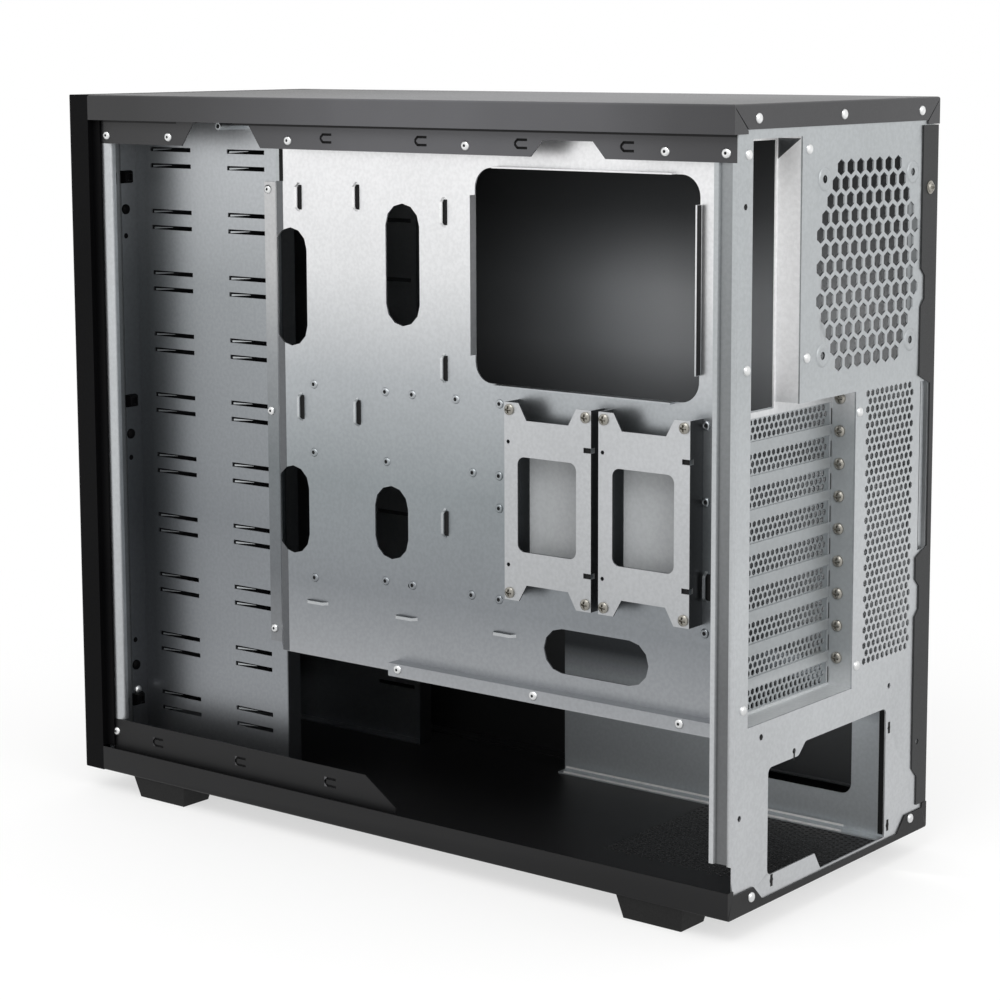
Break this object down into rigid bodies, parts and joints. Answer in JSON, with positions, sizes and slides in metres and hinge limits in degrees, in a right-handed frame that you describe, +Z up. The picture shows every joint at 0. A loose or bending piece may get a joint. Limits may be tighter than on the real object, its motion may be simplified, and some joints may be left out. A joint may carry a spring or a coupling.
{
  "type": "computer case",
  "caption": "Open tower computer case with a pierced rear panel, board tray, slot covers, drive cage and a front bezel with bay blanks and buttons.",
  "frame": {"origin": "on the floor below the middle of the case", "axes": "+X to the open right side, +Y to the rear panel, +Z up; the front bezel faces -Y"},
  "size_m": [0.236, 0.5486, 0.489],
  "materials": {
    "black_paint": "satin",
    "plated_steel": "satin",
    "black_plastic": "matte",
    "black_rubber": "matte",
    "screw_steel": "satin",
    "circuit_board": "satin",
    "socket_metal": "satin"
  },
  "bodies": {
    "case": {"bay_cover_1": "black_plastic", "bay_cover_10": "black_plastic", "bay_cover_2": "black_plastic", "bay_cover_3": "black_plastic", "bay_cover_4": "black_plastic", "bay_cover_5": "black_plastic", "bay_cover_6": "black_plastic", "bay_cover_7": "black_plastic", "bay_cover_8": "black_plastic", "bay_cover_9": "black_plastic", "bottom_rail_left": "black_paint", "bottom_rail_right": "black_paint", "bottom_tray": "black_paint", "drive_cage_left": "plated_steel", "drive_cage_right": "plated_steel", "foot_front_left": "black_rubber", "foot_front_right": "black_rubber", "foot_rear_left": "black_rubber", "foot_rear_right": "black_rubber", "front_bezel": "black_plastic", "front_frame": "plated_steel", "io_slot_pan": "plated_steel", "left_side_panel": "black_paint", "motherboard_tray": "plated_steel", "panel_screw": "screw_steel", "port_sockets": "socket_metal", "psu_side_plate": "plated_steel", "rear_panel": "plated_steel", "slot_cover_1": "plated_steel", "slot_cover_2": "plated_steel", "slot_cover_3": "plated_steel", "slot_cover_4": "plated_steel", "slot_cover_5": "plated_steel", "slot_cover_6": "plated_steel", "slot_cover_7": "plated_steel", "slot_cover_8": "plated_steel", "slot_cover_9": "plated_steel", "slot_screws": "screw_steel", "ssd_bracket_front": "plated_steel", "ssd_bracket_rear": "plated_steel", "switch_board": "circuit_board", "top_cover": "black_paint", "top_rail_left": "black_paint", "top_rail_right": "black_paint", "tray_rail": "plated_steel"},
    "power_key": {"power_button": "black_plastic"},
    "reset_key": {"reset_button": "black_plastic"}
  },
  "joints": [
    {"name": "power_press", "type": "slide", "parent": "case", "child": "power_key", "axis": [0, 1, 0], "range_m": [0, 0.0015], "stiffness_N_per_m": 800, "springref_m": -0.0004},
    {"name": "reset_press", "type": "slide", "parent": "case", "child": "reset_key", "axis": [0, 1, 0], "range_m": [0, 0.0015], "stiffness_N_per_m": 800, "springref_m": -0.0004}
  ]
}
